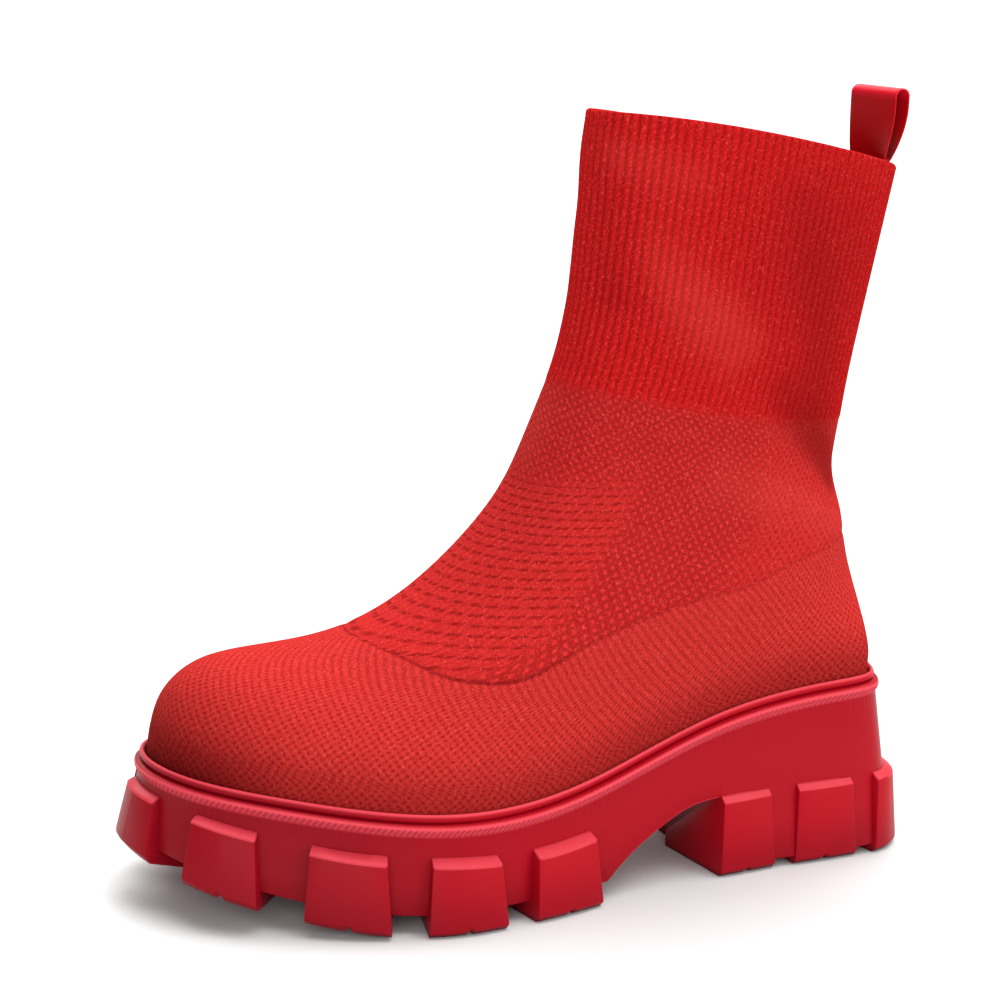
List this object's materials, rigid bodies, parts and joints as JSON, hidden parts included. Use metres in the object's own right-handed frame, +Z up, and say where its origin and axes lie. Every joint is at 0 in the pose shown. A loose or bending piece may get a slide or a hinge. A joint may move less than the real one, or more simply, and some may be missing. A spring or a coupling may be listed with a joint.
{
  "type": "block heel boot",
  "caption": "Left knitted sock boot with a ribbed ankle shaft, a chunky lugged platform sole with a moulded block heel and a ribbon pull loop at the back of the collar.",
  "frame": {"origin": "on the floor under the middle of the boot's box", "axes": "-Y towards the toe, +X towards the wearer's left, the outer side of this left boot, +Z up"},
  "size_m": [0.1156, 0.2766, 0.2642],
  "materials": {
    "sole": "satin moulded crimson foam rubber, brighter along its beads",
    "insole": "dull red cloth lining",
    "knit": "bright red knit, ribbed shaft and fine mesh foot",
    "ribbon": "deep red satin ribbon"
  },
  "bodies": {
    "root": {"sole": "sole", "insole": "insole", "upper": "knit", "pull_loop": "ribbon"}
  },
  "joints": []
}
